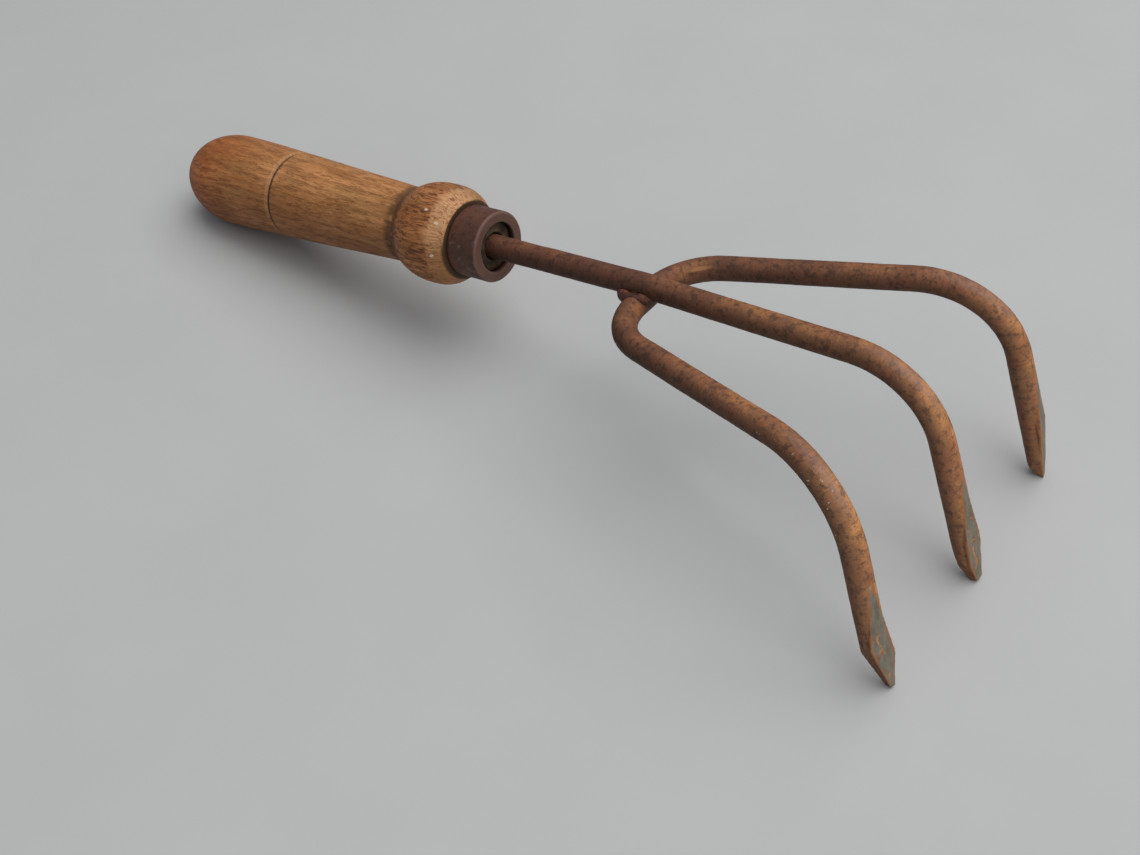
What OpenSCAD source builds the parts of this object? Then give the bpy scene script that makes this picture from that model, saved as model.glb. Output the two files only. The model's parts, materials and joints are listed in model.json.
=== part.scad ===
// Three-tine hand cultivator: a turned wooden handle, a steel ferrule cup, and a welded rod head.
//
// Everything is first drawn along the tool's own axis: the origin is the middle of the ferrule's
// front face, +X points along the shank towards the tines, and the tines hang towards -Z.
// at_rest() then lays the tool on the ground, on its butt and its three tine tips, with z = 0 at
// the ground and the origin under the middle of the tool's length.

/* [Rod] */
// Diameter of the round rod that makes the shank and all three tines
rod_d = 6.35; // [5:0.05:7]
// Length of rod driven into the handle
tang_length = 62; // [30:1:75]
// Length of the cone at the driven end of the rod
tang_point = 8; // [4:1:12]

/* [Shank and centre tine] */
// Straight shank from the ferrule to the weld
shank_length = 46.8; // [35:0.1:70]
// Downward bend of the shank at the weld, in degrees
kink_angle = 2.9; // [1:0.1:8]
// Straight rod from the weld to the centre tine's bend
center_arm = 55.7; // [40:0.1:75]
// Bend radius of the centre tine, at the rod's centre line
center_bend_radius = 23; // [16:0.5:32]
// Bend angle of the centre tine, in degrees
center_bend_angle = 77.6; // [68:0.1:84]

/* [Yoke and outer tines] */
// Drop from the shank's centre line to the yoke's centre line at the weld
weld_drop = 3.6; // [3.2:0.1:6]
// Straight half-width of the yoke under the shank
yoke_half_width = 3.3; // [2:0.1:8]
// Bend radius of the yoke's two shoulders
shoulder_radius = 16.1; // [10:0.1:24]
// Outward splay of each arm from straight ahead, in degrees
splay_angle = 16.7; // [8:0.1:26]
// Straight rod from a shoulder to an outer tine's bend
outer_arm = 47.2; // [35:0.1:65]
// Bend radius of the outer tines
outer_bend_radius = 24; // [16:0.5:32]
// Bend angle of the outer tines, in degrees
outer_bend_angle = 81.1; // [72:0.1:88]
// Straight length of the outer tines below their bend
outer_tine_length = 36.6; // [33:0.1:50]

/* [Tips] */
// Length of the flat on the front of each tine
facet_length = 32; // [20:0.5:33]
// Width that the hammered front of an outer tine spreads to
outer_blade_width = 6.8; // [6:0.1:8]
// Width that the hammered front of the centre tine spreads to
center_blade_width = 6; // [5.5:0.1:8]
// Height of the flat above the rod's centre line at the near and centre tips
tip_height = 1.9; // [0.8:0.1:2.3]
// Height of the flat above the rod's centre line at the far tip
far_tip_height = 0.3; // [0.2:0.1:2.3]

/* [Handle] */
// Length of wood from the butt to the ferrule's rear edge
wood_length = 109.7; // [90:0.1:130]
// Diameter of the handle where the domed butt begins
butt_d = 26.3; // [22:0.1:34]
// Length of the domed butt
butt_length = 18.9; // [12:0.1:24]
// Diameter of the neck behind the bead
neck_d = 20.4; // [17:0.1:24]
// Largest diameter of the bead in front of the neck
bead_d = 27; // [24:0.1:34]
// Distance from the butt to the turned groove
groove_at = 43.2; // [30:0.1:60]
// Depth of the groove
groove_depth = 0.7; // [0.3:0.1:1.5]
// Width of the groove
groove_width = 1.7; // [0.8:0.1:3]

/* [Ferrule] */
// Outer diameter of the ferrule
ferrule_d = 19; // [17:0.1:22]
// Length of the ferrule
ferrule_length = 10; // [8:0.1:16]
// Diameter of the opening in the ferrule's front face
opening_d = 13.2; // [11:0.1:14]
// Wall thickness of the ferrule
ferrule_wall = 1.3; // [0.8:0.1:1.6]
// Depth of the wood's end face behind the ferrule's front face
end_recess = 1.9; // [1.7:0.1:3]

/* [Weld] */
// How much wider than the rod the ring of weld metal is, at the middle of its bead
weld_spread = 2.3; // [2.2:0.1:4]
// Thickness of that bead
weld_bead_d = 3.4; // [3.4:0.1:4.4]
// How far the ring's middle sits behind the crossing
weld_setback = 0.8; // [0:0.1:1]

/* [Hidden] */
$fn = 64;

rod_r = rod_d / 2;
weld_ring_d = rod_d + weld_spread;
fit_gap = 0.03;             // clearance between pieces that are driven or welded together
lap = 0.3;                  // how far straight rod runs into the bends at its ends
bend_swell = 0.02;          // a bend is this much thicker than the straight rod
kink_radius = 49;           // a slight set, so its radius is long
arc_steps = 28;             // points along each curved stretch of the handle's outline
ferrule_edge = 0.7;         // rounding of the ferrule's outer edges
spigot_r = ferrule_d / 2 - ferrule_wall - fit_gap;
end_bevel = 1.7;            // bevel around the wood's end face
blade_height = rod_r - 0.6; // height of the flat where it is widest, above the rod's centre line
blade_start_r = 0.3;        // half-width that the flat starts with
lip_height = rod_r - 1.9;   // underside of the metal spread sideways, above the rod's centre line

// Handle outline, as distances along the axis (the butt is at -butt_x) and radii
wood_front = -ferrule_length - fit_gap;
butt_x = wood_length + ferrule_length;
dome_x = -butt_x + butt_length;
neck_x = wood_front - 19.6;
bead_x = wood_front - 9.3;
bevel_x = wood_front - 3.3;
bevel_r = bead_d / 2 - 0.95;
front_r = ferrule_d / 2 + 1;
groove_x = -butt_x + groove_at;
body_curve = 1.2;           // powers that shape the body's taper and the two sides of the bead
bead_back_curve = 2.15;
bead_front_curve = 3.6;

// ---- Where the tines end, worked out along each bent rod ----

// Distance ahead of a point and drop below it after a straight arm, a bend and a straight tine
function reach(arm, radius, angle, tine) = arm + radius * sin(angle) + tine * cos(angle);
function drop(radius, angle, tine) = radius * (1 - cos(angle)) + tine * sin(angle);

// Outer tine end: the arm leaves the shoulder at the splay angle. A tine's lowest point is on its
// centre line, where the bevel on its back ends.
outer_reach = reach(outer_arm, outer_bend_radius, outer_bend_angle, outer_tine_length);
shoulder_angle = 90 - splay_angle;
outer_tip_x = shank_length + shoulder_radius * (1 - cos(shoulder_angle))
    + outer_reach * cos(splay_angle);
outer_tip_z = -weld_drop - drop(outer_bend_radius, outer_bend_angle, outer_tine_length);

// The tool tilts until its domed butt and its outer tine tips reach the same ground. The dome is
// half an ellipse, so the height of its centre above the ground depends on the tilt.
function dome_height(tilt) =
    sqrt(pow(butt_length * sin(tilt), 2) + pow(butt_d / 2 * cos(tilt), 2));
function settle(tilt, rounds) =
    let (dx = outer_tip_x - dome_x, dz = outer_tip_z)
    rounds == 0 ? tilt
        : settle(-atan2(dz, dx) - asin(dome_height(tilt) / norm([dx, dz])), rounds - 1);
rest_tilt = settle(10, 12);

// Height above the ground of a point on the tool, once the tool is at rest
function rest_height(x, z) =
    (x - dome_x) * sin(rest_tilt) + z * cos(rest_tilt) + dome_height(rest_tilt);

// Centre tine: its straight length is whatever brings its tip down to the same ground
center_angle = kink_angle + center_bend_angle;
kink_end_x = shank_length + kink_radius * sin(kink_angle);
kink_end_z = -kink_radius * (1 - cos(kink_angle));
bend_start_x = kink_end_x + center_arm * cos(kink_angle);
bend_start_z = kink_end_z - center_arm * sin(kink_angle);
bend_end_x = bend_start_x + center_bend_radius * (sin(center_angle) - sin(kink_angle));
bend_end_z = bend_start_z - center_bend_radius * (cos(kink_angle) - cos(center_angle));
center_tine_length = rest_height(bend_end_x, bend_end_z) / sin(center_angle - rest_tilt);

// The tool's length at rest runs from the butt to the front edge of the centre tine's tip
rear_x = dome_x * cos(rest_tilt)
    - sqrt(pow(butt_length * cos(rest_tilt), 2) + pow(butt_d / 2 * sin(rest_tilt), 2));
center_tip_x = bend_end_x + center_tine_length * cos(center_angle);
center_tip_z = bend_end_z - center_tine_length * sin(center_angle);
front_x = center_tip_x * cos(rest_tilt) - center_tip_z * sin(rest_tilt) + tip_height;
middle_x = (rear_x + front_x) / 2;
axis_height = rest_height(0, 0);

module at_rest() {
    translate([-middle_x, 0, axis_height])
        rotate([0, -rest_tilt, 0])
            children();
}

// ---- Bent rod ----
// Each piece of rod starts at the origin along +X, and a bend turns it towards -Z.

module straight_rod(length, beyond = lap) {
    translate([-lap, 0, 0])
        rotate([0, 90, 0])
            cylinder(d = rod_d, h = lap + length + beyond);
}

module down_bend(radius, angle) {
    translate([0, 0, -radius])
        rotate([90, 0, 0])
            rotate([0, 0, 90 - angle])
                rotate_extrude(angle = angle)
                    translate([radius, 0])
                        circle(d = rod_d + bend_swell);
}

// Moves its children to the end of a bend, facing along the rod
module after_bend(radius, angle) {
    translate([radius * sin(angle), 0, -radius * (1 - cos(angle))])
        rotate([0, angle, 0])
            children();
}

module after_straight(length) {
    translate([length, 0, 0])
        children();
}

// A tine's point is given as [blade, tip height, back bevel, outer chamfer, inner chamfer]. The
// blade is [width, how far from the tip it is widest], the tip height is that of the flat above the
// rod's centre line, and each chamfer is [length along the tine, depth into the rod].

// Metal that the hammered front of a tine spreads sideways, before the flats are cut
module spread_front(blade) {
    wide_r = blade[0] / 2;
    translate([0, 0, lip_height])
        linear_extrude(rod_r - lip_height)
            polygon([
                [-facet_length, -blade_start_r], [-blade[1], -wide_r], [0, -wide_r],
                [0, wide_r], [-blade[1], wide_r], [-facet_length, blade_start_r]
            ]);
}

module tip_cuts(blade, tip, back_bevel, outer, inner) {
    front_cut(facet_length, rod_r, blade_height - rod_r, facet_length - blade[1]);
    front_cut(blade[1], blade_height, tip - blade_height, blade[1]);
    mirror([0, 0, 1])
        front_cut(back_bevel, rod_r, -rod_r, back_bevel);
    side_chamfer(outer);
    mirror([0, 1, 0])
        side_chamfer(inner);
}

// Everything above a plane that starts at a distance before the tip and a height over the centre
// line, and rises by this much over this length
module front_cut(before_tip, height, rise, length) {
    translate([-before_tip, 0, height])
        rotate([0, atan(-rise / length), 0])
            translate([-rod_d, -rod_d, 0])
                cube([before_tip + 3 * rod_d, 2 * rod_d, 2 * rod_d]);
}

module side_chamfer(size) {
    translate([0, rod_r - size[1], -rod_d])
        rotate([0, 0, -atan(size[1] / size[0])])
            translate([-size[0] - rod_d, 0, 0])
                cube([size[0] + 2 * rod_d, rod_d, 2 * rod_d]);
}

// An arm of rod, bent down into a tine with a shaped point
module tine(arm, radius, angle, length, point) {
    straight_rod(arm);
    after_straight(arm) {
        down_bend(radius, angle);
        after_bend(radius, angle)
            difference() {
                union() {
                    straight_rod(length, 0);
                    after_straight(length)
                        spread_front(point[0]);
                }
                after_straight(length)
                    tip_cuts(point[0], point[1], point[2], point[3], point[4]);
            }
    }
}

// ---- Pieces of the rod head ----

// Half of the yoke, from under the shank out to the +Y tine tip
module yoke_half(point) {
    rotate([0, 0, 90]) {
        straight_rod(yoke_half_width);
        after_straight(yoke_half_width)
            rotate([-90, 0, 0]) {
                down_bend(shoulder_radius, shoulder_angle);
                after_bend(shoulder_radius, shoulder_angle)
                    rotate([90, 0, 0])
                        tine(outer_arm, outer_bend_radius, outer_bend_angle, outer_tine_length, point);
            }
    }
}

module yoke_rod() {
    translate([shank_length, 0, -weld_drop]) {
        yoke_half([[outer_blade_width, 16], far_tip_height, 5, [5, 2], [7, 2]]);
        mirror([0, 1, 0])
            yoke_half([[outer_blade_width, 10], tip_height, 14, [13, 3.8], [7, 1.3]]);
    }
}

// The room that the yoke's rod takes out of the shank and the weld where they cross
module yoke_saddle() {
    shoulder_part = 30;
    translate([shank_length, 0, -weld_drop]) {
        rotate([90, 0, 0])
            cylinder(d = rod_d + 2 * fit_gap, h = 2 * (yoke_half_width + lap), center = true);
        for (side = [0, 1])
            mirror([0, side, 0])
                translate([shoulder_radius, yoke_half_width, 0])
                    rotate([0, 0, 180 - shoulder_part])
                        rotate_extrude(angle = shoulder_part)
                            translate([shoulder_radius, 0])
                                circle(d = rod_d + bend_swell + 2 * fit_gap);
    }
}

module shank_rod() {
    translate([-tang_length, 0, 0])
        straight_rod(tang_length + shank_length);
    translate([-tang_length - tang_point, 0, 0])
        rotate([0, 90, 0])
            cylinder(d1 = rod_d / 3, d2 = rod_d - bend_swell, h = tang_point);
    after_straight(shank_length) {
        down_bend(kink_radius, kink_angle);
        after_bend(kink_radius, kink_angle)
            tine(center_arm, center_bend_radius, center_bend_angle, center_tine_length,
                [[center_blade_width, 12], tip_height, 13, [10, 2.2], [6, 1.8]]);
    }
}

module shank_center_tine() {
    color("saddlebrown")
        at_rest()
            difference() {
                shank_rod();
                yoke_saddle();
            }
}

module outer_tine_yoke() {
    color("sienna")
        at_rest()
            yoke_rod();
}

// Weld metal squeezed out in a ring around the crossing, left only where the rods are not
module weld_bead() {
    color("maroon")
        at_rest()
            difference() {
                translate([shank_length - weld_setback, 0, -weld_drop / 2])
                    rotate_extrude()
                        translate([weld_ring_d / 2, 0])
                            circle(d = weld_bead_d);
                translate([shank_length - weld_ring_d, 0, 0])
                    rotate([0, 90, 0])
                        cylinder(d = rod_d + 2 * fit_gap, h = 2 * weld_ring_d);
                yoke_saddle();
            }
}

// ---- Handle and ferrule ----

// Handle outline: [radius, distance along the axis] from the butt to the wood's end face
function dome_points() = [
    for (i = [0 : arc_steps - 1])
        let (a = 90 * i / arc_steps)
        [butt_d / 2 * sin(a), dome_x - butt_length * cos(a)]
];
function body_radius(x) =
    let (u = max(0, (x - dome_x) / (neck_x - dome_x)))
    neck_d / 2 + (butt_d - neck_d) / 2 * (1 - pow(u, body_curve));
function body_points(from, to, steps) = [
    for (i = [0 : steps])
        let (x = from + (to - from) * i / steps)
        [body_radius(x), x]
];
// A V cut with a long slope on the butt's side and a steep wall on the other
function groove_points() = [
    [body_radius(groove_x - groove_width / 2), groove_x - groove_width / 2],
    [body_radius(groove_x) - groove_depth, groove_x + groove_width * 0.3],
    [body_radius(groove_x + groove_width / 2), groove_x + groove_width / 2]
];
function bead_back_points() = [
    for (i = [1 : arc_steps])
        let (w = i / arc_steps, share = 1 - pow(1 - w, bead_back_curve))
        [neck_d / 2 + (bead_d - neck_d) / 2 * share, neck_x + (bead_x - neck_x) * w]
];
function bead_front_points() = [
    for (i = [1 : arc_steps / 2])
        let (w = 2 * i / arc_steps)
        [bead_d / 2 - (bead_d / 2 - bevel_r) * pow(w, bead_front_curve), bead_x + (bevel_x - bead_x) * w]
];
function spigot_points() = [
    [front_r, wood_front],
    [spigot_r, wood_front],
    [spigot_r, -end_recess - end_bevel],
    [spigot_r - end_bevel, -end_recess],
    [0, -end_recess]
];

module handle() {
    bore_r = rod_r + fit_gap;
    color("peru")
        at_rest()
            difference() {
                rotate([0, 90, 0])
                    rotate_extrude()
                        polygon(concat(
                            dome_points(),
                            body_points(dome_x, groove_x - groove_width, 6),
                            groove_points(),
                            body_points(groove_x + groove_width, neck_x, 12),
                            bead_back_points(),
                            bead_front_points(),
                            spigot_points()
                        ));
                translate([-tang_length, 0, 0])
                    rotate([0, 90, 0])
                        cylinder(r = bore_r, h = tang_length);
                translate([-tang_length - tang_point - fit_gap, 0, 0])
                    rotate([0, 90, 0])
                        cylinder(r1 = bore_r / 3, r2 = bore_r, h = tang_point + fit_gap);
            }
}

// Quarter circle of rounding about a centre, from one angle to another
function corner(center, radius, from, to) = [
    for (i = [0 : 6])
        let (a = from + (to - from) * i / 6)
        [center[0] + radius * cos(a), center[1] + radius * sin(a)]
];

module ferrule() {
    outer_r = ferrule_d / 2;
    inner_r = outer_r - ferrule_wall;
    edge = ferrule_edge;
    lip_edge = 0.3;
    color("dimgray")
        at_rest()
            rotate([0, 90, 0])
                rotate_extrude()
                    polygon(concat(
                        [[inner_r, -ferrule_length]],
                        corner([outer_r - edge, edge - ferrule_length], edge, -90, 0),
                        corner([outer_r - edge, -edge], edge, 0, 90),
                        corner([opening_d / 2 + lip_edge, -lip_edge], lip_edge, 90, 180),
                        [[opening_d / 2, -ferrule_wall], [inner_r, -ferrule_wall]]
                    ));
}

handle();
ferrule();
shank_center_tine();
outer_tine_yoke();
weld_bead();
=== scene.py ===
"""Looks of a three-tine hand cultivator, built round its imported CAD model.

Shapes are worked out in the tool's own frame, in millimetres: the origin is the middle of the
ferrule's front face, +X runs along the shank to the tines, and the tines hang towards -Z.
TO_ROW takes them to the row frame, in metres. Every shape is read from the CAD nodes: turned
pieces from a cut through their axis, and rods by following their centre line.
"""
import json
import math

import bmesh
import bpy
import numpy as np
from mathutils import Matrix, Vector, noise
from mathutils.bvhtree import BVHTree


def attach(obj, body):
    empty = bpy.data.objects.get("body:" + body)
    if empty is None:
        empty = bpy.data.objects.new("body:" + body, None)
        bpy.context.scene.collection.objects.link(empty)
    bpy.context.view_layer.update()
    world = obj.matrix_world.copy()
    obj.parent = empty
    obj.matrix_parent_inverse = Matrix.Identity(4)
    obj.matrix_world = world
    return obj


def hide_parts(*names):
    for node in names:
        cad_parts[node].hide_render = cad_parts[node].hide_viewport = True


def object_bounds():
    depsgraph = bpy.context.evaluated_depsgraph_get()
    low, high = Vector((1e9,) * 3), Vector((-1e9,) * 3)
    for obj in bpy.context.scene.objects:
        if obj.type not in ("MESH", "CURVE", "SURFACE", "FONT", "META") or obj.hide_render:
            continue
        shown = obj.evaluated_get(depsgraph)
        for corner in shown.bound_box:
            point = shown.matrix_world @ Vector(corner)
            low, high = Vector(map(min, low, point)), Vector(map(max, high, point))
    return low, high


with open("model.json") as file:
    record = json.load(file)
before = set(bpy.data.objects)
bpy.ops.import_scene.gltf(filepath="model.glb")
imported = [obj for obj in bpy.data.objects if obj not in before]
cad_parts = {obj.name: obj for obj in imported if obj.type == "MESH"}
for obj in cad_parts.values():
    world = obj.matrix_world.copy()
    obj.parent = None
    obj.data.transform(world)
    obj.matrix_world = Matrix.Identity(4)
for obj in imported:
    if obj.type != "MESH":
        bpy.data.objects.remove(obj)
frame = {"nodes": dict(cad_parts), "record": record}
cad_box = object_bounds()

MM = 0.001
WELD_SEAM = 1e-4  # vertices closer than this are one vertex, in mm


# ---- The tool's frame and the CAD surfaces ----

def tool_to_row():
    """Tool frame in mm to row frame in metres, from the rack_seat mount on the ferrule's face."""
    seat = next(m for m in frame["record"]["mounts"] if m["name"] == "rack_seat")
    along = Vector(seat["axis"]).normalized()
    across = Vector((0, 1, 0))
    matrix = Matrix((along, across, along.cross(across))).transposed().to_4x4()
    matrix.translation = (seat["pos_m"][0], 0, seat["pos_m"][2])
    return matrix @ Matrix.Scale(MM, 4)


TO_ROW = tool_to_row()
TO_TOOL = TO_ROW.inverted()


def cad_mesh(node):
    """A CAD node's surface as one closed bmesh, in the tool frame."""
    bm = bmesh.new()
    bm.from_mesh(frame["nodes"][node].data)
    bm.transform(TO_TOOL)
    bmesh.ops.remove_doubles(bm, verts=bm.verts, dist=WELD_SEAM)
    return bm


def cut_loops(node, point, normal):
    """The closed loops of points where a plane cuts a CAD node."""
    bm = cad_mesh(node)
    bmesh.ops.bisect_plane(
        bm, geom=bm.verts[:] + bm.edges[:] + bm.faces[:], plane_co=point, plane_no=normal,
        clear_inner=True, clear_outer=True,
    )
    loops, seen = [], set()
    for first in bm.verts:
        loop, vert = [], first
        while vert is not None and vert not in seen:
            seen.add(vert)
            loop.append(vert.co.copy())
            ahead = [e.other_vert(vert) for e in vert.link_edges]
            vert = next((v for v in ahead if v not in seen), None)
        if len(loop) > 3:
            loops.append(loop)
    bm.free()
    return loops


def tang_radius():
    """The rod's radius, from the stretch of it inside the handle."""
    bm = cad_mesh("shank_center_tine")
    radius = max(math.hypot(v.co.y, v.co.z) for v in bm.verts if v.co.x < 0)
    bm.free()
    return radius


ROD_RADIUS = tang_radius()


# ---- Meshes from rings of points ----

def make_object(name, bm, attributes=None):
    """A smooth-shaded object from a bmesh in the tool frame, riding on the tool's one body."""
    bmesh.ops.recalc_face_normals(bm, faces=bm.faces[:])
    mesh = bpy.data.meshes.new(name)
    bm.to_mesh(mesh)
    bm.free()
    mesh.transform(TO_ROW)
    mesh.polygons.foreach_set("use_smooth", [True] * len(mesh.polygons))
    for key, values in (attributes or {}).items():
        layer = mesh.attributes.new(key, "FLOAT", "POINT")
        layer.data.foreach_set("value", np.asarray(values, np.float32))
    piece = bpy.data.objects.new(name, mesh)
    bpy.context.scene.collection.objects.link(piece)
    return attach(piece, "root")


def skin_rings(rings, closed=False):
    """A bmesh through equal rings of points, with a fan on each end unless it closes on itself."""
    bm = bmesh.new()
    columns = [[bm.verts.new(p) for p in ring] for ring in rings]
    count = len(columns[0])
    pairs = list(zip(columns, columns[1:]))
    if closed:
        pairs.append((columns[-1], columns[0]))
    for a, b in pairs:
        for k in range(count):
            n = (k + 1) % count
            bm.faces.new((a[k], a[n], b[n], b[k]))
    if not closed:
        for ring in (columns[0], columns[-1]):
            middle = bm.verts.new(sum((v.co for v in ring), Vector()) / count)
            for k in range(count):
                bm.faces.new((ring[k], ring[(k + 1) % count], middle))
    bm.verts.index_update()
    return bm


# ---- Turned pieces: handle and ferrule ----

CUT_TURN = 0.37  # the cut is turned about the axis, in radians, to miss the seams of the CAD surface


def half_outline(node):
    """(points, closed): a turned node's outline on one side of its axis, as rows of [x, radius]."""
    across = Vector((0, math.cos(CUT_TURN), math.sin(CUT_TURN)))
    loops = cut_loops(node, Vector(), Vector((1, 0, 0)).cross(across))
    flat = [np.array([(p.x, p.dot(across)) for p in loop]) for loop in loops]
    loop = max(flat, key=lambda points: points[:, 1].mean())
    if loop[:, 1].min() > 0:
        return loop, True
    outside = loop[:, 1] > 0
    start = next(i for i in range(len(loop)) if outside[i] and not outside[i - 1])
    half = np.roll(loop, -start, axis=0)[: outside.sum()]
    if half[0, 0] > half[-1, 0]:
        half = half[::-1]
    return half, False


def resample(points, step, closed=False):
    """Points at equal steps along a polyline. A function step(point) gives uneven steps."""
    if closed:
        points = np.vstack((points, points[:1]))
    run = np.concatenate(([0], np.cumsum(np.linalg.norm(np.diff(points, axis=0), axis=1))))

    def at(distance):
        return np.array([np.interp(distance, run, points[:, k]) for k in range(points.shape[1])])

    if not callable(step):
        count = max(2, round(run[-1] / step))
        places = np.linspace(0, run[-1], count + 1)
    else:
        places = [0.0]
        while places[-1] + step(at(places[-1])) < run[-1]:
            places.append(places[-1] + step(at(places[-1])))
        places = np.array(places + [run[-1]])
    return at(places).T[:-1] if closed else at(places).T


def soften(points, width, step, closed=False):
    """Rounds an evenly stepped polyline's corners with a bell-shaped average of this width."""
    half = int(3 * width / step)
    weights = np.exp(-0.5 * (np.arange(-half, half + 1) * step / width) ** 2)
    if closed:
        padded = np.pad(points, ((half, half), (0, 0)), mode="wrap")
    else:
        padded = np.pad(points, ((half, half), (0, 0)), mode="reflect", reflect_type="odd")
    return np.stack([np.convolve(padded[:, k], weights / weights.sum(), "valid") for k in (0, 1)], 1)


def outline_normals(points, closed):
    """(normals, bends): the outward normal, and how far it turns in a millimetre (above 0 on an edge)."""
    before, after = np.roll(points, 1, axis=0), np.roll(points, -1, axis=0)
    if not closed:
        before[0], after[-1] = points[0], points[-1]
    run = after - before
    length = np.linalg.norm(run, axis=1, keepdims=True)
    run = run / length
    normals = np.stack((-run[:, 1], run[:, 0]), 1)
    if closed and normals[np.argmax(points[:, 1]), 1] < 0:
        normals = -normals
    turn = np.roll(normals, -1, axis=0) - np.roll(normals, 1, axis=0)
    bends = (turn * run).sum(1) / length[:, 0]
    if not closed:
        bends[0] = bends[-1] = 0
    return normals, np.clip(bends, -4, 4)


FINE_STEP = 0.05    # step for rounding corners, in mm
POLE_RADIUS = 0.15  # a turned piece's outline stops this far from the axis, and a fan closes it


def turned_piece(name, node, columns, step, rounding, relief):
    """A turned piece: its CAD outline with rounded corners, spun round the axis.
    relief(point, normal, turn) gives how far a point stands proud, and the attributes there."""
    outline, closed = half_outline(node)
    outline = soften(resample(outline, FINE_STEP, closed), rounding, FINE_STEP, closed)
    outline = resample(outline, step, closed)
    if not closed:
        outline = outline[outline[:, 1] > POLE_RADIUS]
    normals, bends = outline_normals(outline, closed)
    rings, marks = [], []
    for (x, r), (nx, nr), bend in zip(outline, normals, bends):
        ring = []
        for k in range(columns):
            turn = 2 * math.pi * k / columns
            spoke = Vector((0, math.cos(turn), math.sin(turn)))
            point = Vector((x, 0, 0)) + spoke * r
            normal = Vector((nx, 0, 0)) + spoke * nr
            proud, mark = relief(point, normal, turn)
            ring.append(point + normal * proud)
            marks.append({"bend": bend, **mark})
        rings.append(ring)
    if not closed:
        marks += [marks[0], marks[-1]]
    attributes = {key: [m[key] for m in marks] for key in marks[0]}
    return make_object(name, skin_rings(rings, closed), attributes)


# ---- Bent rods ----

TRACE_STEP = 2.0   # between the points of a centre line, in mm
TRACE_RAYS = 24    # rays that find a section's middle
TRACE_LIMIT = 400  # most points on a centre line
TRACE_NUDGE = Vector((0, 0.013, 0.007))  # keeps a ray along the axis off the mesh's own edges
ROUND_WITHIN = 0.12  # a section is round if no ray is shorter than the rod's radius by more than this
MESH_SLACK = 0.05    # the CAD mesh may lie this far from the true round rod
END_INSET = 0.02     # the end sections are taken this far inside the rod
MISSING_IF_FLAT = 0.08  # a point is on a flat if this much of the round is missing,
TURNED_IF_FLAT = 0.02   # or if its normal leaves the round's by this much (1 - cosine)
FRONT_FACING = 0.75     # and its normal points forward
EDGE_BLUR = 5           # passes that spread a flat's border into its edge mark


def rod_surface(node):
    """A CAD node's surface for casting rays, and its vertices."""
    bm = cad_mesh(node)
    surface, corners = BVHTree.FromBMesh(bm), [v.co.copy() for v in bm.verts]
    bm.free()
    return surface, corners


def ring_rays(surface, center, heading, side, count):
    """(point, normal) where each ray from a point, square to the heading, leaves the surface."""
    up = heading.cross(side)
    hits = []
    for k in range(count):
        turn = 2 * math.pi * k / count
        ray = side * math.cos(turn) + up * math.sin(turn)
        point, normal = surface.ray_cast(center, ray, 3 * ROD_RADIUS)[:2]
        hits.append((center + ray * ROD_RADIUS, ray) if point is None else (point, normal))
    return hits


def middle_of(points):
    """The mean of some points."""
    return sum(points, Vector()) / len(points)


def end_of_rod(corners, point, heading):
    """How far a rod reaches beyond a point on its last straight stretch."""
    offsets = [v - point for v in corners]
    ahead = [away.dot(heading) for away in offsets if away.cross(heading).length < 1.5 * ROD_RADIUS]
    return max(ahead)


def trace_rod(surface, corners, start, heading):
    """A rod's centre line from a point on it to its end. It runs straight on where the rod isn't round."""
    line = [start]
    while True:
        wall = surface.ray_cast(line[-1] + TRACE_NUDGE, heading)[3]
        if wall is None or wall < 1.5 * TRACE_STEP or len(line) > TRACE_LIMIT:
            line.append(line[-1] + heading * end_of_rod(corners, line[-1], heading))
            return line
        center = line[-1] + heading * TRACE_STEP
        side = heading.orthogonal().normalized()
        hits = [point for point, _ in ring_rays(surface, center, heading, side, TRACE_RAYS)]
        center_found = center + 2 * (middle_of(hits) - center)
        shortest = min((h - center_found).length for h in hits)
        if shortest > ROD_RADIUS - ROUND_WITHIN:
            line.append(center_found)
            heading = (line[-1] - line[-2]).normalized()
        else:
            if len(line) > 4:
                heading = (line[-1] - line[-4]).normalized()
            line.append(line[-1] + heading * TRACE_STEP)


def smooth_line(points, step):
    """Points along a Catmull-Rom curve through a centre line, at steps that step(point) gives."""
    ends = [2 * points[0] - points[1]] + points + [2 * points[-1] - points[-2]]
    dense = []
    for a, b, c, d in zip(ends, ends[1:], ends[2:], ends[3:]):
        for i in range(8):
            t = i / 8
            dense.append(0.5 * (
                2 * b + (c - a) * t + (2 * a - 5 * b + 4 * c - d) * t * t
                + (3 * b - a - 3 * c + d) * t ** 3
            ))
    dense.append(points[-1])
    return [Vector(p) for p in resample(np.array(dense), step)]


def section_ring(surface, center, inside, heading, side, count):
    """One ring of a rod's surface, how flat its front is at each point, and its middle.
    inside is a point well within the section."""
    hits = ring_rays(surface, inside, heading, side, count)
    middle = middle_of([point for point, _ in hits])
    if min((point - center).length for point, _ in hits) < ROD_RADIUS - 2 * MESH_SLACK:
        hits = ring_rays(surface, middle, heading, side, count)
        middle = middle_of([point for point, _ in hits])
    front = (Vector((1, 0, 0)) - heading * heading.x).normalized()
    ring, flats = [], []
    for point, normal in hits:
        spoke = point - center
        radius = spoke.length
        spoke.normalize()
        missing = max(0.0, ROD_RADIUS - radius - MESH_SLACK)
        spread = max(0.0, radius - ROD_RADIUS - MESH_SLACK)
        ring.append(center + spoke * (ROD_RADIUS - missing + spread))
        off_round = missing / MISSING_IF_FLAT + (1 - normal.dot(spoke)) / TURNED_IF_FLAT
        flats.append(min(1.0, off_round) if normal.dot(front) > FRONT_FACING else 0.0)
    return ring, flats, middle


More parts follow.
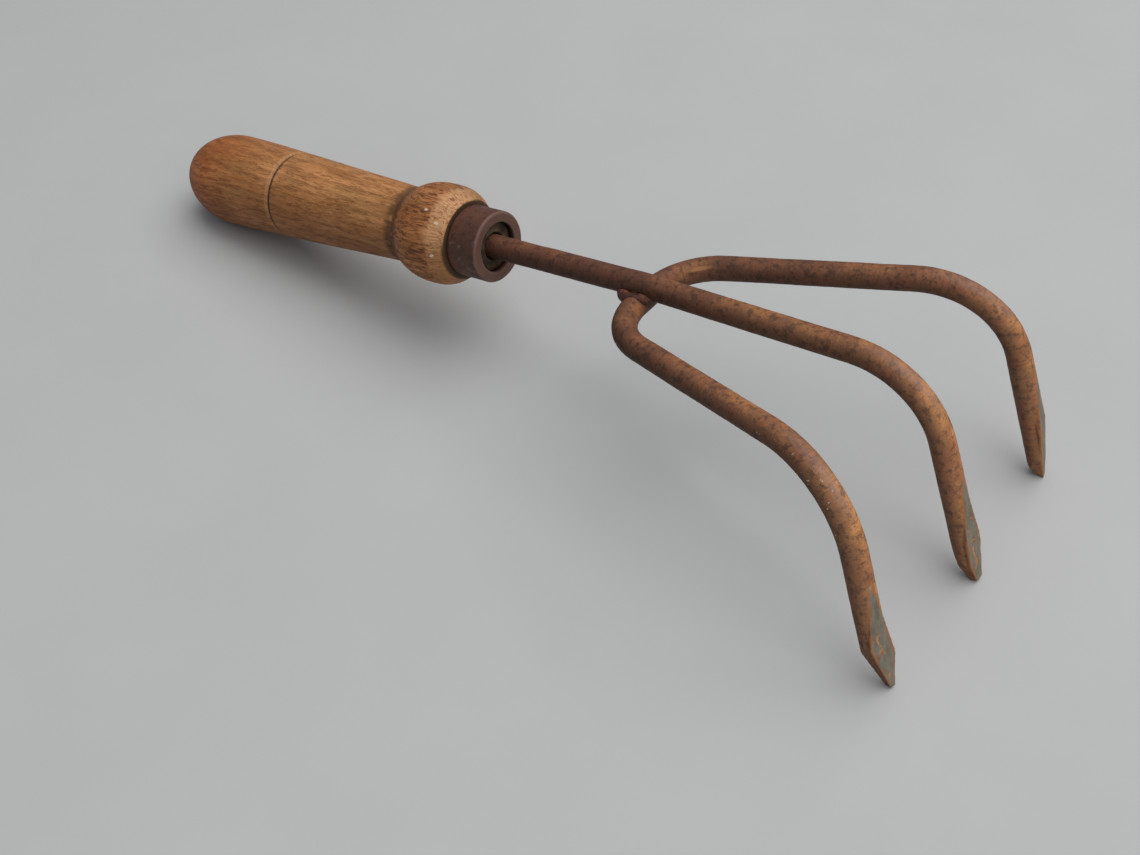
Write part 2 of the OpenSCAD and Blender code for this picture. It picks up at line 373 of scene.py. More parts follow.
def blur_rings(values, passes):
    """Averages a ring-by-column array with its neighbours."""
    for _ in range(passes):
        values = (np.roll(values, 1, 1) + 2 * values + np.roll(values, -1, 1)) / 4
        padded = np.pad(values, ((1, 1), (0, 0)), mode="edge")
        values = (padded[:-2] + 2 * values + padded[2:]) / 4
    return values


def rod_piece(name, node, line, columns, step, relief):
    """A bent rod skinned along its centre line. The ground and edge attributes mark the flats of its
    tips and their borders, and run is the distance along it."""
    surface, corners = rod_surface(node)
    path = smooth_line(line, step)
    side = (path[1] - path[0]).orthogonal().normalized()
    first_middle = middle_of([v for v in corners if (v - path[0]).length < 1.3 * ROD_RADIUS])
    rings, flats = [], []
    offset = first_middle - path[0]
    for i, center in enumerate(path):
        heading = (path[min(i + 1, len(path) - 1)] - path[max(i - 1, 0)]).normalized()
        side = (side - heading * side.dot(heading)).normalized()
        offset -= heading * offset.dot(heading)
        if i == 0:
            center = center + END_INSET * heading
        elif i == len(path) - 1:
            center = center - END_INSET * heading
        ring, flat, middle = section_ring(surface, center, center + offset, heading, side, columns)
        offset = middle - center
        rings.append(ring)
        flats.append(flat)
    run = np.cumsum([0] + [(b - a).length for a, b in zip(path, path[1:])])
    ground = np.array(flats)
    soft = blur_rings(ground, EDGE_BLUR)
    proud = []
    for middle, ring in zip(path, rings):
        proud.append([p + (p - middle).normalized() * relief(p) for p in ring])
    marks = {
        "ground": ground.ravel(),
        "edge": (4 * soft * (1 - soft)).ravel(),
        "run": np.repeat(run, columns),
    }
    attributes = {key: np.append(v, (v[0], v[-1])) for key, v in marks.items()}
    return make_object(name, skin_rings(proud), attributes)


# ---- Reliefs ----

def bump_noise(point, size):
    """Smooth noise from -1 to 1 with lumps of about this size in mm."""
    return noise.noise(point / size)


def rust_relief(point):
    """How far pitted, slightly wavy rust stands proud of a rod."""
    return (
        0.05 * bump_noise(point, 9.0)
        + 0.035 * bump_noise(point + Vector((31, 0, 0)), 1.7)
        + 0.02 * bump_noise(point + Vector((0, 57, 0)), 0.8)
        - 0.03
    )


def weld_relief(point):
    """How far lumps of weld metal stand proud."""
    return 0.12 * bump_noise(point, 1.4) + 0.05 * bump_noise(point, 0.6) - 0.02


def ferrule_relief(point, _normal, _turn):
    """A slightly dented and pitted cup, with no attributes."""
    proud = 0.05 * bump_noise(point, 6.0) + 0.02 * bump_noise(point, 1.1) - 0.02
    return proud, {}


def crease_between(points, bends, low, high):
    """Distance along the axis of the sharpest crease in a stretch of an outline."""
    here = [(bend, point[0]) for bend, point in zip(bends, points) if low < point[0] < high]
    return min(here)[1]


def handle_landmarks():
    """Where the butt, the groove, the neck and the ferrule's rear edge are along the axis, in mm.
    The groove is looked for between the butt's dome and the bore, and the neck just behind the bead."""
    outline, _ = half_outline("handle")
    outline = resample(outline, FINE_STEP)
    bends = outline_normals(outline, False)[1]
    butt, shoulder = outline[:, 0].min(), cad_extent("ferrule")[0]
    groove = crease_between(outline, bends, butt + 25, shoulder - 60)
    neck = crease_between(outline, bends, shoulder - 25, shoulder - 12)
    return {"butt": butt, "groove": groove, "neck": neck, "shoulder": shoulder}


def cad_extent(node):
    """A CAD node's least and greatest distance along the tool's axis."""
    bm = cad_mesh(node)
    places = [v.co.x for v in bm.verts]
    bm.free()
    return min(places), max(places)


WOOD_AT = handle_landmarks()
RIB_COUNT = 96     # fine ribs round the bevel next to the ferrule
SPECK_SIZE = 0.32  # radius of a paint speck
SPECKS = [(6.4, 120), (2.5, 132), (2.8, 173)]  # distance behind the ferrule, angle in degrees


def speck_at(point, turn):
    """1 in the middle of a paint speck and 0 beyond its edge."""
    behind = WOOD_AT["shoulder"] - point.x
    ragged = 0.30 * bump_noise(point, 0.5)
    away = []
    for distance, angle in SPECKS:
        around = abs(turn - math.radians(angle)) * math.hypot(point.y, point.z)
        away.append(math.hypot(0.8 * (behind - distance), around) + ragged)
    return min(1.0, max(0.0, 1.6 - min(away) / SPECK_SIZE))


def wood_relief(point, normal, turn):
    """Open pores along the grain, worn waves, ribs on the bevel, a lip round the rod where it enters,
    and a few specks of paint."""
    wander = 0.35 * bump_noise(point, 7.0)
    grain = Vector((point.x * 0.24, (point.y + wander) * 2.5, (point.z + wander) * 2.5))
    nearest = noise.voronoi(grain)[0][0]
    cover = 0.5 + 0.5 * bump_noise(Vector((point.x * 0.3, point.y, point.z)), 3.0)
    coarse = 1.0 if WOOD_AT["neck"] < point.x < WOOD_AT["shoulder"] - 4 else 0.0
    pore = max(0.0, 1 - nearest / (0.30 + 0.12 * coarse)) * min(1.0, cover * (1.2 + coarse))
    on_bevel = min(1.0, max(0.0, 1 - abs(point.x - WOOD_AT["shoulder"] + 2.6) / 2.4))
    rib = 0.05 * on_bevel * math.sin(RIB_COUNT * turn + 2 * bump_noise(point, 4.0))
    speck = speck_at(point, turn)
    from_rod = math.hypot(point.y, point.z) - ROD_RADIUS
    at_end = 1.0 if normal.x > 0.9 and from_rod > 0.15 else 0.0
    lip = at_end * max(0.0, 1 - abs(from_rod - 0.8) / 0.9) * (0.8 + 0.5 * bump_noise(point, 2.0))
    proud = 0.8 * lip + rib + 0.12 * speck - (0.09 + 0.05 * coarse) * pore
    proud += 0.07 * bump_noise(point, 13.0) - 0.03
    return proud, {"pore": pore * (1 - speck), "speck": speck, "rib": 0.5 + 10 * rib}


# ---- Pieces ----

HIDDEN_STEP = 3.0  # between rings where another piece covers the surface, in mm
DOME_LENGTH = 20   # the butt's dome ends this far from the butt, and the bore is beyond it


def handle_step(point):
    """Distance to the next ring of the handle: long in the bore."""
    x, r = point
    in_bore = r < ROD_RADIUS + 0.5 and x > WOOD_AT["butt"] + DOME_LENGTH
    return HIDDEN_STEP if in_bore else 0.38


def build_handle():
    """The wooden handle, turned from the CAD outline."""
    piece = turned_piece("turned_handle", "handle", 280, handle_step, 0.18, wood_relief)
    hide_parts("handle")
    piece.data.materials.append(wood())
    return piece


def build_ferrule():
    """The ferrule, turned from the CAD outline."""
    piece = turned_piece("ferrule_cup", "ferrule", 220, 0.28, 0.12, ferrule_relief)
    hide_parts("ferrule")
    piece.data.materials.append(rusty_ferrule())
    return piece


ROD_COLUMNS = 112


def rod_step(point):
    """Distance to the next ring of a rod: long inside the handle."""
    return HIDDEN_STEP if point[0] < -3 else 0.42


def build_shank():
    """The rod of the shank and the centre tine, followed from the tang's point to the tip."""
    node = "shank_center_tine"
    surface, corners = rod_surface(node)
    tang_end = Vector((min(v.x for v in corners), 0, 0))
    line = trace_rod(surface, corners, tang_end + Vector((0.02, 0, 0)), Vector((1, 0, 0)))
    piece = rod_piece("shank_and_center_tine", node, line, ROD_COLUMNS, rod_step, rust_relief)
    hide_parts(node)
    piece.data.materials.append(rusty_rod())
    return piece


def build_yoke():
    """The yoke's rod, followed from its middle to both tips."""
    node = "outer_tine_yoke"
    loop = max(cut_loops(node, Vector(), Vector((0, 1, 0))), key=len)
    low, high = np.min(loop, axis=0), np.max(loop, axis=0)
    crossing = Vector((low + high) / 2)
    surface, corners = rod_surface(node)
    far = trace_rod(surface, corners, crossing, Vector((0, 1, 0)))
    near = trace_rod(surface, corners, crossing, Vector((0, -1, 0)))
    piece = rod_piece("yoke_and_outer_tines", node, near[:0:-1] + far, ROD_COLUMNS, rod_step, rust_relief)
    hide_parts(node)
    piece.data.materials.append(rusty_rod())
    return piece


WELD_VOXEL = 0.16  # size of the weld's facets, in mm


def build_weld():
    """The CAD weld with an even skin, made lumpy."""
    bm = cad_mesh("weld_bead")
    mesh = bpy.data.meshes.new("weld_source")
    bm.to_mesh(mesh)
    bm.free()
    source = bpy.data.objects.new("weld_source", mesh)
    bpy.context.scene.collection.objects.link(source)
    remesh = source.modifiers.new("remesh", "REMESH")
    remesh.mode = "VOXEL"
    remesh.voxel_size = WELD_VOXEL
    bpy.context.view_layer.update()
    lumps = source.evaluated_get(bpy.context.evaluated_depsgraph_get())
    bm = bmesh.new()
    bm.from_mesh(lumps.data)
    bpy.data.objects.remove(source)
    bmesh.ops.smooth_vert(bm, verts=bm.verts, factor=0.5, use_axis_x=True, use_axis_y=True, use_axis_z=True)
    bm.normal_update()
    moves = [v.normal * weld_relief(v.co) for v in bm.verts]
    for vert, move in zip(bm.verts, moves):
        vert.co += move
    piece = make_object("weld_metal", bm)
    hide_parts("weld_bead")
    piece.data.materials.append(rusty_weld())
    return piece


# ---- Materials ----

class Shader:
    """One material's nodes, built with short calls. A value is a number, a colour or a socket."""

    def __init__(self, name):
        self.material = bpy.data.materials.new(name)
        self.material.use_nodes = True
        self.tree = self.material.node_tree
        self.tree.nodes.clear()
        self.at = self.tool_place()

    def node(self, kind, inputs, **settings):
        """A new node with its inputs set or linked."""
        made = self.tree.nodes.new("ShaderNode" + kind)
        for key, value in settings.items():
            setattr(made, key, value)
        for key, value in inputs.items():
            if isinstance(value, bpy.types.NodeSocket):
                self.tree.links.new(value, made.inputs[key])
            elif isinstance(value, tuple) and made.inputs[key].type == "RGBA":
                made.inputs[key].default_value = (*value, 1)
            else:
                made.inputs[key].default_value = value
        return made

    def tool_place(self):
        """Where a point is in the tool frame, in mm."""
        place = self.node("TexCoord", {}).outputs["Object"]
        turn = TO_TOOL.to_3x3().normalized().to_euler()
        return self.node("Mapping", {
            "Vector": place, "Location": TO_TOOL.translation, "Rotation": turn, "Scale": (1 / MM,) * 3,
        }, vector_type="POINT").outputs[0]

    def part(self, axis):
        """One coordinate of the place."""
        return self.node("SeparateXYZ", {0: self.at}).outputs[axis]

    def stretch(self, factors, shift=(0, 0, 0)):
        """The place, scaled on each axis, for noise that runs one way."""
        moved = self.node("VectorMath", {0: self.at, 1: shift}, operation="ADD").outputs[0]
        return self.node("VectorMath", {0: moved, 1: factors}, operation="MULTIPLY").outputs[0]

    def noise(self, place, scale, detail=3.0, rough=0.55, bend=0.0):
        """Noise from 0 to 1, mostly near 0.5."""
        return self.node("TexNoise", {
            "Vector": place, "Scale": scale, "Detail": detail, "Roughness": rough, "Distortion": bend,
        }).outputs["Fac"]

    def math(self, operation, a, b=0.0):
        return self.node("Math", {0: a, 1: b}, operation=operation).outputs[0]

    def rise(self, value, low, high):
        """0 below low, 1 above high and smooth between. A low above high gives a fall."""
        return self.node("MapRange", {
            "Value": value, "From Min": low, "From Max": high,
        }, interpolation_type="SMOOTHSTEP").outputs[0]

    def mark(self, name):
        """One of the piece's own attributes."""
        return self.node("Attribute", {}, attribute_name=name).outputs["Fac"]

    def mix(self, share, a, b, blend="MIX"):
        """Colour a with this share of b laid over it."""
        return self.node("Mix", {0: share, 6: a, 7: b}, data_type="RGBA", blend_type=blend).outputs[2]

    def scaled(self, value, factor):
        return self.math("MULTIPLY", value, factor)

    def band(self, value, low, high, soft):
        """1 between low and high, and 0 further than soft outside them."""
        inside = self.rise(value, low - soft, low)
        return self.math("MULTIPLY", inside, self.rise(value, high + soft, high))

    def facing(self, direction):
        """How far the surface faces a direction of the row frame, from -1 to 1."""
        normal = self.node("NewGeometry", {}).outputs["Normal"]
        return self.node("VectorMath", {0: normal, 1: direction}, operation="DOT_PRODUCT").outputs["Value"]

    def growth_rings(self, center, spacing, lean):
        """Saw-toothed growth rings about a line beside the handle: 0 in early wood to 1 in late wood."""
        wave = self.noise(self.stretch((0.035, 0.11, 0.11)), 1.0, 2.0)
        y = self.math("SUBTRACT", self.part("Y"), center[0])
        z = self.math("SUBTRACT", self.part("Z"), center[1])
        away = self.math("SQRT", self.math("ADD", self.math("POWER", y, 2.0), self.math("POWER", z, 2.0)))
        away = self.math("ADD", away, self.scaled(self.part("X"), lean))
        away = self.math("ADD", away, self.scaled(wave, 5.0))
        return self.math("FRACT", self.scaled(away, 1 / spacing))

    def finish(self, color, roughness, height, depth, metallic=0.0, specular=0.5):
        """Ends the material. depth is the bump's depth in mm for a height of 1."""
        bump = self.node("Bump", {"Height": height, "Distance": depth * MM, "Strength": 1.0})
        surface = self.node("BsdfPrincipled", {
            "Base Color": color, "Roughness": roughness, "Metallic": metallic,
            "Specular IOR Level": specular, "Normal": bump.outputs[0],
        })
        output = self.node("OutputMaterial", {})
        self.tree.links.new(surface.outputs[0], output.inputs[0])
        return self.material


def wood():
    """Open-grained turned wood, dirty in its pores and rubbed pale next to the ferrule, with painted light
    and shade at the groove, the bevel and the underside.
    """
    s = Shader("turned_wood")
    x = s.part("X")
    color, fleck, fiber = wood_grain(s, x)
    bead = s.band(x, WOOD_AT["neck"] + 1, WOOD_AT["shoulder"] - 5, 1.5)
    color = s.mix(s.scaled(bead, 0.50), color, (0.62, 0.42, 0.32), "MULTIPLY")
    streaks = s.math("MULTIPLY", bead, s.rise(fleck, 0.50, 0.62))
    color = s.mix(s.scaled(streaks, 0.7), color, (0.085, 0.030, 0.012))
    pore = s.rise(s.mark("pore"), 0.08, 0.5)
    color = s.mix(s.scaled(pore, 0.8), color, (0.085, 0.036, 0.014))
    smudge = s.noise(s.stretch((0.25, 0.3, 0.3), (7, 7, 7)), 1.0, 4.0, 0.6)
    color = worn_bevel(s, color, x, fleck)
    color = groove_and_neck(s, color, x, smudge)
    color = end_grain(s, color, x, smudge)
    color = s.mix(s.scaled(s.rise(s.mark("speck"), 0.2, 0.7), 0.85), color, (0.66, 0.52, 0.42))
    rough = s.math("ADD", s.scaled(fleck, 0.25), 0.48)
    height = s.math("SUBTRACT", s.scaled(fleck, -0.6), s.scaled(fiber, 0.5))
    return s.finish(color, rough, height, 0.13, specular=0.28)


def wood_grain(s, x):
    """(colour, flecks, fibres) of bare wood: orange-brown, with rings and dark flecks along the grain."""
    drift = s.noise(s.stretch((0.05, 0.16, 0.16), (5, 2, 9)), 1.0, 2.0)
    broad = s.noise(s.stretch((0.04, 0.12, 0.12)), 1.0, 3.0)
    fleck = s.noise(s.stretch((0.17, 1.25, 1.25)), 1.0, 4.0, 0.68, 0.9)
    fiber = s.noise(s.stretch((0.45, 4.2, 4.2), (3, 1, 2)), 1.0, 4.0, 0.7, 0.4)
    rings = s.growth_rings((-15.0, -12.0), 2.3, 0.055)
    color = s.mix(s.rise(broad, 0.36, 0.64), (0.415, 0.172, 0.054), (0.585, 0.272, 0.104))
    color = s.mix(s.scaled(s.rise(rings, 0.35, 0.95), 0.42), color, (0.215, 0.080, 0.024))
    color = s.mix(s.scaled(s.rise(drift, 0.48, 0.66), 0.35), color, (0.260, 0.155, 0.050))
    color = s.mix(s.scaled(s.rise(fleck, 0.49, 0.60), 0.66), color, (0.185, 0.066, 0.020))
    color = s.mix(s.scaled(s.rise(fiber, 0.50, 0.66), 0.50), color, (0.120, 0.048, 0.018))
    color = s.mix(s.scaled(s.rise(fiber, 0.46, 0.32), 0.38), color, (0.600, 0.340, 0.150))
    butt = s.rise(x, WOOD_AT["groove"] - 6, WOOD_AT["groove"] - 30)
    return s.mix(s.scaled(butt, 0.80), color, (0.90, 0.62, 0.48), "MULTIPLY"), fleck, fiber


STAINED_AND_SHADED = (0.030, 0.017, 0.010)  # wood at its dirtiest, also the colour of painted shadow and painted shade
PALE = (0.60, 0.34, 0.175)       # wood rubbed bare, also the colour of a painted highlight


def groove_and_neck(s, color, x, smudge):
    """A painted highlight on the groove's lip and a painted shadow line in the groove, patchy darkening in
    the neck, and painted shade on the underside.
    """
    groove, neck = WOOD_AT["groove"], WOOD_AT["neck"]
    # Painted highlight: the lip on the butt side of the groove is lighter where it faces the light.
    lip = s.band(x, groove - 1.5, groove - 0.7, 0.3)
    color = s.mix(s.scaled(lip, 0.20), color, PALE)
    # Painted shadow: a dark line at the bottom of the groove.
    line = s.band(x, groove - 0.35, groove + 0.40, 0.35)
    color = s.mix(s.scaled(line, 0.80), color, STAINED_AND_SHADED)
    # Patchy darkening in the neck.
    neck_darkening = s.math("MULTIPLY", s.band(x, neck - 1.0, neck + 1.8, 2.4), s.rise(smudge, 0.30, 0.50))
    color = s.mix(s.scaled(neck_darkening, 0.80), color, (0.085, 0.038, 0.015))
    # Painted shade: the underside is darker, stopping short of the bead.
    painted_under_shade = s.rise(s.facing((-0.15, -0.45, -0.88)), -0.45, 0.75)
    painted_under_shade = s.math("MULTIPLY", painted_under_shade, s.rise(x, neck + 5, neck))
    return s.mix(s.scaled(painted_under_shade, 0.60), color, (0.50, 0.42, 0.38), "MULTIPLY")


def worn_bevel(s, color, x, fleck):
    """A pale worn bevel next to the ferrule, with ribs. A painted highlight makes it palest on top, and
    painted shade darkens its lower side. A dark band along the ferrule is a stain that is painted darker away
    from the top as painted shade.
    """
    shoulder = WOOD_AT["shoulder"]
    ragged = s.noise(s.stretch((0.1, 0.35, 0.35), (1, 5, 3)), 1.0, 3.0)
    edge = s.math("ADD", x, s.scaled(ragged, 4.0))
    # How far the surface faces the light, for painted light and shade on the bevel.
    lit_top = s.rise(s.facing((0.25, -0.3, 0.92)), 0.35, 0.95)
    bevel = s.math("MULTIPLY", s.rise(edge, shoulder - 4.4, shoulder - 0.6), s.rise(fleck, 0.66, 0.44))
    # The worn bevel is pale, and a painted highlight makes it palest on top.
    color = s.mix(s.math("MULTIPLY", bevel, s.math("ADD", s.scaled(lit_top, 0.60), 0.16)), color, PALE)
    # Painted shade: the bevel is darker on its lower side.
    shaded_low_bevel = s.math("MULTIPLY", bevel, s.math("SUBTRACT", 1.0, lit_top))
    color = s.mix(s.scaled(shaded_low_bevel, 0.45), color, (0.27, 0.135, 0.055))
    between_ribs = s.math("MULTIPLY", bevel, s.rise(s.mark("rib"), 0.55, 0.05))
    color = s.mix(s.scaled(between_ribs, 0.70), color, (0.22, 0.092, 0.036))
    # A dark band along the ferrule: a stain, with painted shade making it darker away from the top and
    # leaving the top clear.
    stain_and_shade = s.math("MULTIPLY", s.rise(x, shoulder - 0.9, shoulder - 0.2), s.rise(lit_top, 0.97, 0.40))
    return s.mix(s.scaled(stain_and_shade, 0.88), color, STAINED_AND_SHADED)


def end_grain(s, color, x, smudge):
    """Dirty end grain, inside the ferrule."""
    end = s.mix(s.rise(smudge, 0.35, 0.60), (0.034, 0.024, 0.013), (0.095, 0.058, 0.030))
    return s.mix(s.rise(x, WOOD_AT["shoulder"], WOOD_AT["shoulder"] + 0.5), color, end)


def rust_color(s, brown, orange, dark, red, lit):
    """Mottled rust: brown with orange bloom that is painted stronger on the lit side as painted light,
    red-brown patches, dark scale, and painted orange glints on the lit side.
    """
    bloom = s.noise(s.at, 0.16, 5.0, 0.62)
    patch = s.noise(s.stretch((1, 1, 1), (40, 7, 3)), 0.11, 4.0, 0.6)
    grain = s.noise(s.at, 1.9, 5.0, 0.72)
    scale = s.noise(s.stretch((1, 1, 1), (9, 80, 21)), 0.55, 6.0, 0.72)
    share = s.math("ADD", s.rise(bloom, 0.38, 0.66), 0.25)
    # Painted light: the orange share grows where the surface faces the light.
    share = s.math("MULTIPLY", share, s.math("ADD", s.scaled(lit, 0.95), 0.12))
    color = s.mix(s.math("MINIMUM", share, 1.0), brown, orange)
    color = s.mix(s.scaled(s.rise(patch, 0.46, 0.66), 0.55), color, red)
    color = s.mix(s.scaled(s.rise(scale, 0.49, 0.62), 0.72), color, dark)
    color = s.mix(s.scaled(s.rise(grain, 0.47, 0.72), 0.50), color, dark)
    # Painted glints: orange flecks, strongest on the lit side.
    glints = s.math("MULTIPLY", s.rise(grain, 0.46, 0.32), s.math("ADD", lit, 0.2))
    color = s.mix(s.scaled(glints, 0.35), color, orange)
    return color, grain, scale


SUNNY_SIDE = (0.45, 0.45, 0.77)   # the direction of the painted light: the rust is painted orange on the side facing it
SHADY_SIDE = (-0.65, -0.5, -0.57)  # and of the painted shade: the side facing it is painted darker
SHANK_END, TINES_START = 38, 105  # the rust goes from dark to light between these distances along


def rod_shades(s):
    """(brown, orange, dark, red) rust: dark on the shank and lighter towards the tines."""
    far_side = s.math("MAXIMUM", s.part("Y"), 0.0)
    forward = s.rise(s.math("SUBTRACT", s.part("X"), s.scaled(far_side, 0.9)), SHANK_END, TINES_START)
    off_axis = s.math("ABSOLUTE", s.part("Y"))
    root = s.math("MULTIPLY", s.rise(off_axis, 3.6, 6.0), s.rise(off_axis, 22, 12))
    forward = s.math("MAXIMUM", forward, s.scaled(root, 0.40))
    brown = s.mix(forward, (0.098, 0.040, 0.025), (0.185, 0.084, 0.045))
    orange = s.mix(forward, (0.200, 0.077, 0.038), (0.400, 0.172, 0.064))
    dark = s.mix(forward, (0.036, 0.020, 0.014), (0.066, 0.036, 0.024))
    red = s.mix(forward, (0.140, 0.044, 0.027), (0.235, 0.080, 0.043))
    return brown, orange, dark, red


def rod_weathering(s, color):
    """A painted highlight streak along the far arm's root, painted sheen on the bends, lighter tines, and
    painted shade on the side away from the light.
    """
    # Painted highlight: a narrow orange streak along the far arm's root, on the side turned to the camera.
    highlight_streak = s.rise(s.facing((0.38, -0.60, 0.70)), 0.972, 0.995)
    highlight_streak = s.math("MULTIPLY", highlight_streak, s.band(s.part("Y"), 6, 16, 3))
    color = s.mix(s.scaled(highlight_streak, 0.65), color, (0.42, 0.19, 0.075))
    # Painted sheen: a pale highlight on the upper faces of the bends.
    sheen = s.rise(s.facing((0.35, -0.1, 0.93)), 0.80, 0.98)
    sheen = s.math("MULTIPLY", sheen, s.rise(s.part("X"), 100, 120))
    color = s.mix(s.scaled(sheen, 0.45), color, (0.230, 0.140, 0.120))
    low = s.rise(s.part("X"), 108, 135)
    color = s.mix(low, color, (1.75, 1.85, 1.75), "MULTIPLY")
    # Painted shade: the side away from the light is darker.
    shady = s.rise(s.facing(SHADY_SIDE), -0.1, 0.85)
    return s.mix(s.scaled(shady, 0.85), color, (0.45, 0.42, 0.40), "MULTIPLY")


def bare_flats(s, color):
    """(colour, share of bare metal): grey-green flats on the tips, rusty along their borders."""
    worn = s.noise(s.stretch((1, 1, 0.35), (3, 3, 50)), 0.5, 5.0, 0.68)
    bare = s.mix(s.rise(worn, 0.36, 0.62), (0.190, 0.158, 0.112), (0.270, 0.240, 0.185))
    patches = s.noise(s.stretch((1, 1, 0.6), (11, 2, 5)), 0.42, 3.0, 0.6)
    share = s.math("MULTIPLY", s.rise(s.mark("ground"), 0.3, 0.8), s.rise(patches, 0.64, 0.60))
    color = s.mix(share, color, bare)
    blotches = s.noise(s.stretch((1, 1, 1), (15, 61, 4)), 0.35, 3.0, 0.6)
    rim = s.math("MULTIPLY", s.rise(s.mark("edge"), 0.15, 0.75), s.rise(blotches, 0.36, 0.52))
    return s.mix(s.scaled(rim, 0.85), color, (0.44, 0.17, 0.065)), share


def near_specks(s, color):
    """A few specks of paint on the near tine's bend."""
    speck = s.math("MULTIPLY", s.rise(s.noise(s.at, 0.9, 2.0), 0.70, 0.73), s.rise(s.part("Y"), -22, -28))
    speck = s.math("MULTIPLY", speck, s.band(s.part("X"), 98, 124, 3))
    return s.mix(s.scaled(speck, 0.7), color, (0.62, 0.58, 0.50))


def rusty_rod():
    """Rusty round rod with ridges across it and bare flats at its tips."""
    s = Shader("rod_steel")
    # Painted light: how far the rod faces the light.
    lit = s.rise(s.facing(SUNNY_SIDE), -0.1, 0.95)
    brown, orange, dark, red = rod_shades(s)
    color, grain, scale = rust_color(s, brown, orange, dark, red, lit)
    color = rod_weathering(s, color)
    bands = s.node("CombineXYZ", {0: s.scaled(s.mark("run"), 1.5), 1: s.scaled(s.part("Y"), 0.12)}).outputs[0]
    ridge = s.noise(bands, 1.0, 4.0, 0.7)
    color = s.mix(s.scaled(s.rise(ridge, 0.50, 0.70), 0.38), color, dark)
    color, share = bare_flats(s, color)
    color = near_specks(s, color)
    rough = s.math("SUBTRACT", s.math("ADD", s.scaled(scale, 0.3), 0.52), s.scaled(s.mark("ground"), 0.1))
    height = s.math("ADD", s.math("ADD", s.scaled(grain, 0.8), s.scaled(scale, 0.6)), s.scaled(ridge, 0.5))
    return s.finish(color, rough, height, 0.11, s.scaled(share, 0.25), 0.25)


def rusty_weld():
    """Dark, rough, rusty weld metal, painted orange on the lit side as painted light."""
    s = Shader("weld_steel")
    # Painted light: how far the weld faces the light.
    lit = s.rise(s.facing(SUNNY_SIDE), 0.0, 1.0)
    color, grain, scale = rust_color(
        s, (0.060, 0.028, 0.020), (0.240, 0.080, 0.042), (0.020, 0.013, 0.010), (0.150, 0.040, 0.026), lit)
    return s.finish(color, s.math("ADD", s.scaled(scale, 0.3), 0.55), grain, 0.15, specular=0.25)


def rusty_ferrule():
    """Dark purple-brown rust, painted orange on the lit side as painted light, scuffed at the side, with a
    paler front rim and a darker rear edge.
    """
    s = Shader("ferrule_steel")
    # Painted light: how far the ferrule faces the light.
    lit = s.rise(s.facing(SUNNY_SIDE), 0.2, 1.0)
    color, grain, scale = rust_color(
        s, (0.088, 0.039, 0.025), (0.150, 0.060, 0.036), (0.040, 0.024, 0.018), (0.130, 0.042, 0.027), lit)
    rim = s.rise(s.part("X"), -0.75, -0.25)
    color = s.mix(s.scaled(rim, 0.75), color, (0.150, 0.078, 0.058))
    scuff = s.noise(s.stretch((0.8, 1, 1), (2, 8, 31)), 0.55, 5.0, 0.7)
    bare = s.math("MULTIPLY", s.rise(scuff, 0.57, 0.66), s.rise(s.facing((0.2, -0.75, -0.2)), 0.2, 0.7))
    color = s.mix(s.scaled(bare, 0.5), color, (0.190, 0.170, 0.160))
    # A darker band along the rear edge.
    rear = s.rise(s.part("X"), WOOD_AT["shoulder"] + 0.9, WOOD_AT["shoulder"] + 0.2)
    color = s.mix(s.scaled(rear, 0.7), color, (0.024, 0.016, 0.012))
    worn = s.math("MULTIPLY", s.rise(s.mark("bend"), 0.3, 1.5), s.math("SUBTRACT", 1.0, rear))
    color = s.mix(s.scaled(worn, 0.35), color, (0.20, 0.12, 0.10))
    return s.finish(color, s.math("ADD", s.scaled(scale, 0.25), 0.46), grain, 0.07, 0.1, 0.3)


def floor_paint():
    """A plain pale floor with a faint drift of tone."""
    s = Shader("floor_paint")
    tone = s.noise(s.at, 0.02, 3.0)
    color = s.mix(tone, (0.44, 0.45, 0.455), (0.48, 0.49, 0.495))
    return s.finish(color, 0.85, tone, 0.05)


# ---- Stage ----

def build_floor():
    """The cloth that the tool lies on, for the picture only."""
    bm = bmesh.new()
    bmesh.ops.create_grid(bm, x_segments=40, y_segments=40, size=2.5)
    mesh = bpy.data.meshes.new("floor")
    bm.to_mesh(mesh)
    bm.free()
    floor = bpy.data.objects.new("floor", mesh)
    floor.location.z = cad_box[0].z
    bpy.context.scene.collection.objects.link(floor)
    mesh.materials.append(floor_paint())


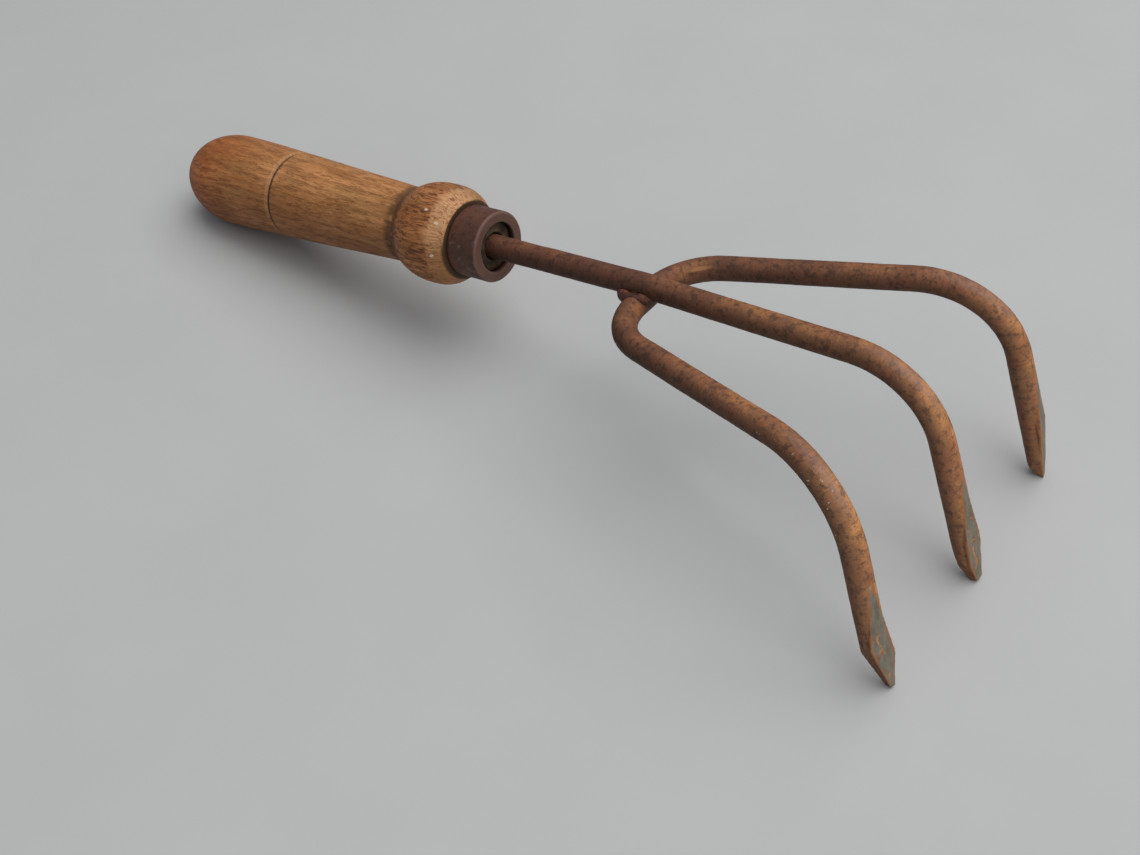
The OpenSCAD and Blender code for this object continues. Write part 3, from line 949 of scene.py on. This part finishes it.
def add_light(name, azimuth, height, distance, size, power, color):
    """A square soft light that faces the tool. Azimuth 0 is over +Y."""
    target = (cad_box[0] + cad_box[1]) / 2
    a, h = math.radians(azimuth), math.radians(height)
    offset = Vector((math.sin(a) * math.cos(h), math.cos(a) * math.cos(h), math.sin(h))) * distance
    data = bpy.data.lights.new(name, "AREA")
    data.shape, data.size, data.energy, data.color = "SQUARE", size, power, color
    light = bpy.data.objects.new(name, data)
    light.location = target + offset
    light.rotation_euler = (-offset).to_track_quat("-Z", "Y").to_euler()
    bpy.context.scene.collection.objects.link(light)


def build_lights():
    """Light from a window and from the room, for the picture only."""
    add_light("window", 20, 72, 1.3, 1.5, 15, (1.0, 0.985, 0.96))
    add_light("room", 115, 50, 1.6, 1.4, 9, (1.0, 0.98, 0.96))
    world = bpy.data.worlds.new("studio")
    world.use_nodes = True
    world.node_tree.nodes["Background"].inputs[0].default_value = (0.92, 0.95, 1.0, 1)
    world.node_tree.nodes["Background"].inputs[1].default_value = 0.22
    bpy.context.scene.world = world


CAMERA_AT = Vector((0.20646, -0.25226, 0.28874))
CAMERA_TURN = 51.970   # camera's heading from straight back along -X, towards +Y, in degrees
CAMERA_DOWN = 43.906   # how far it looks down, in degrees
CAMERA_ROLL = -1.230   # lean about its own line of sight, in degrees
CAMERA_LENS = 50.53    # on a 36 mm wide sensor


def build_camera():
    """The camera of the photo, for the picture only."""
    data = bpy.data.cameras.new("camera")
    data.lens, data.sensor_width = CAMERA_LENS, 36
    camera = bpy.data.objects.new("camera", data)
    turn, down = math.radians(CAMERA_TURN), math.radians(CAMERA_DOWN)
    heading = Vector((-math.cos(turn) * math.cos(down), math.sin(turn) * math.cos(down), -math.sin(down)))
    roll = Matrix.Rotation(math.radians(CAMERA_ROLL), 3, "Z")
    camera.rotation_euler = (heading.to_track_quat("-Z", "Y").to_matrix() @ roll).to_euler()
    camera.location = CAMERA_AT
    bpy.context.scene.collection.objects.link(camera)
    bpy.context.scene.camera = camera


build_handle()
build_ferrule()
build_shank()
build_yoke()
build_weld()
build_floor()
build_lights()
build_camera()
bpy.context.scene.view_settings.view_transform = "Standard"
